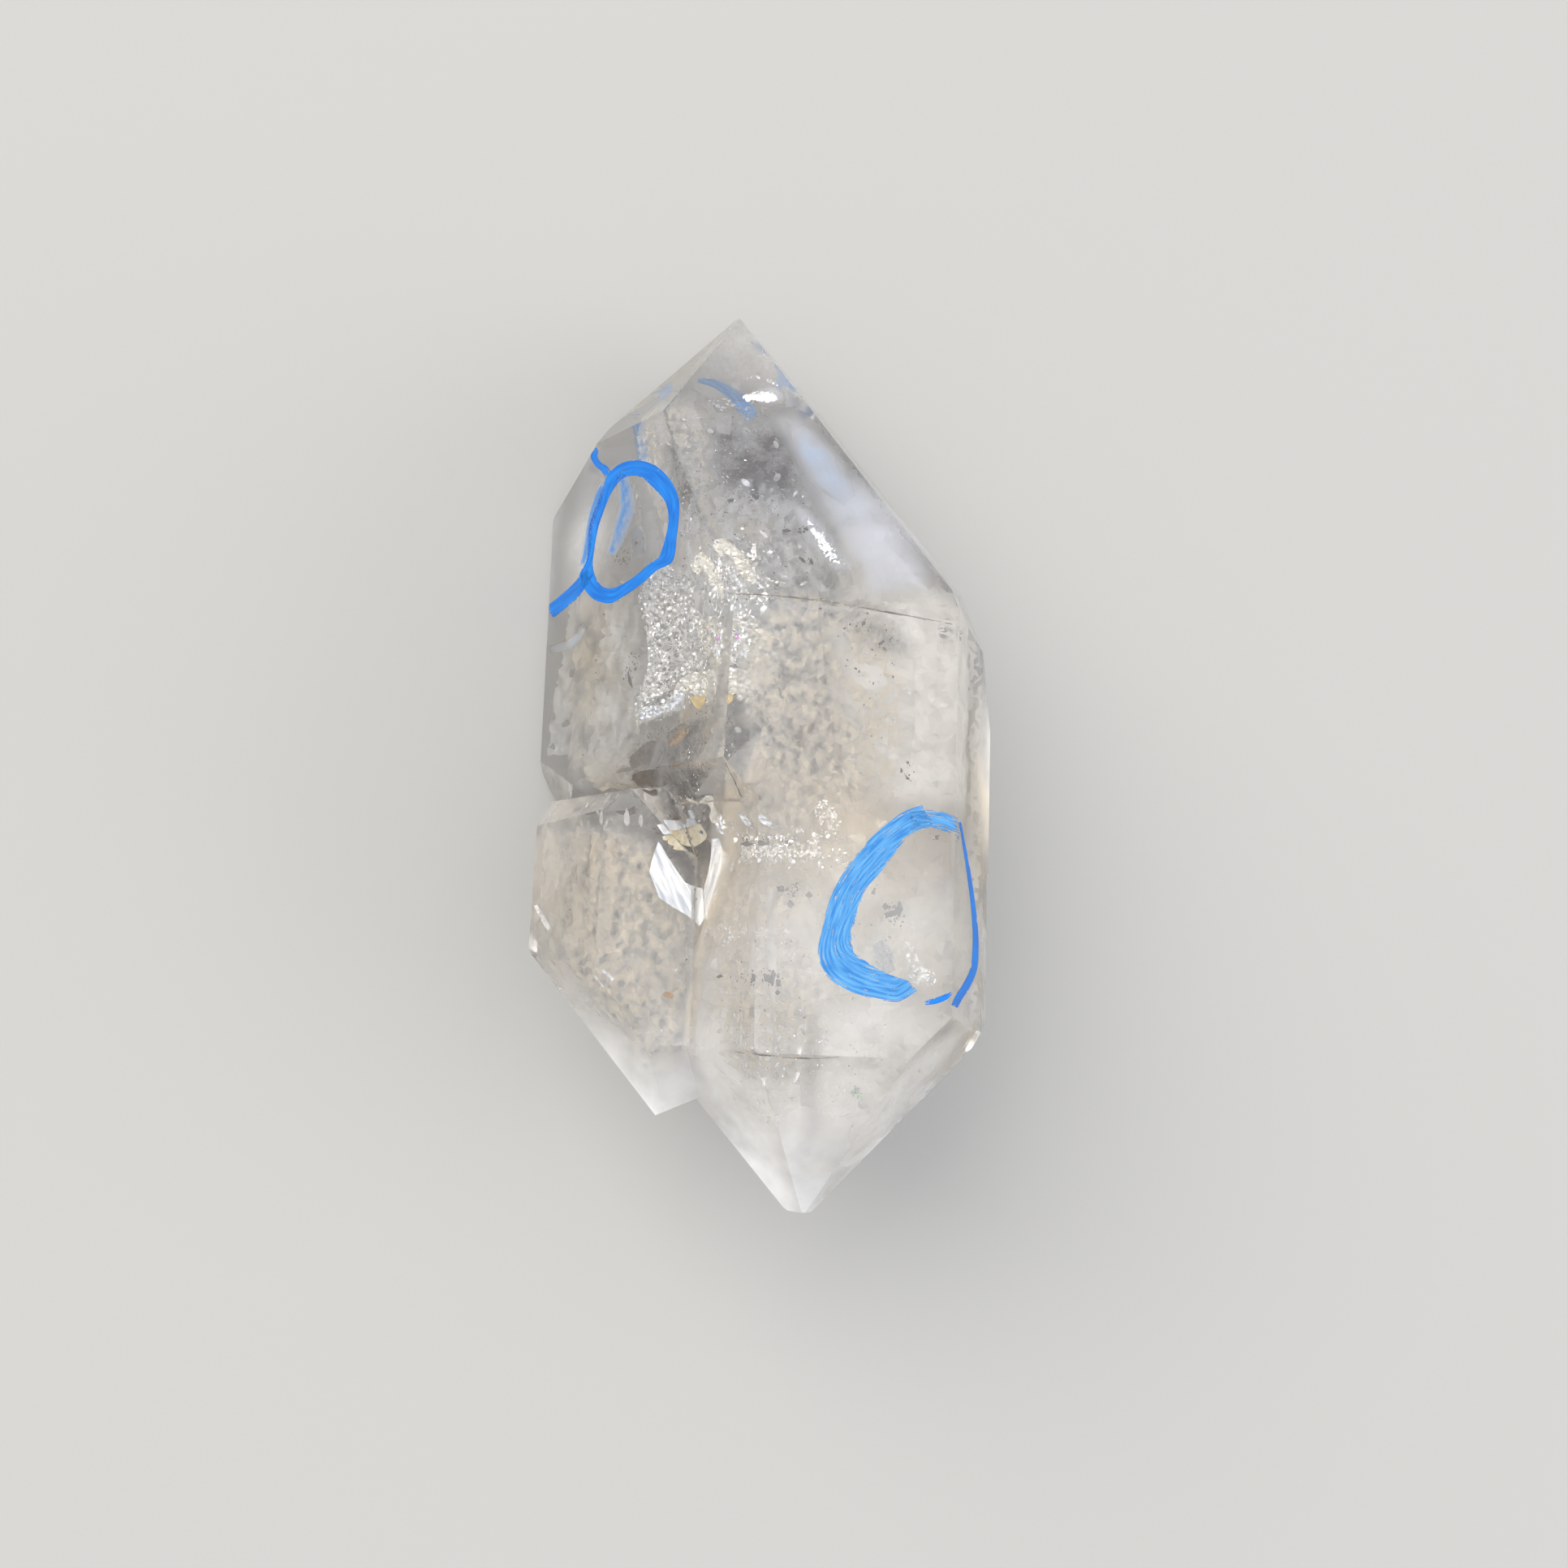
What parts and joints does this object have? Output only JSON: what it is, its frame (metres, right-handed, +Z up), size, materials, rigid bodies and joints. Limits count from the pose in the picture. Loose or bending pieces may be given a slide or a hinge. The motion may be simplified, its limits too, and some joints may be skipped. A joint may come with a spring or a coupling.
{
  "type": "enhydro quartz double point",
  "caption": "Clear rock crystal with a point at each end, grown as fused parallel crystals, with veils and fluid inclusions inside and marker rings drawn round them.",
  "frame": {"origin": "centre of the bounding box in plan, on the surface that the stone lies on", "axes": "+Y along the crystal axis towards the long upper point, +Z up from the flat prism face that it rests on, +X to the right as seen from above"},
  "size_m": [0.0278, 0.0582, 0.0233],
  "materials": {
    "quartz": "natural glossy crystal faces, clear with milky and honey-tinted zones"
  },
  "bodies": {
    "root": {"quartz_crystal": "quartz"}
  },
  "joints": []
}
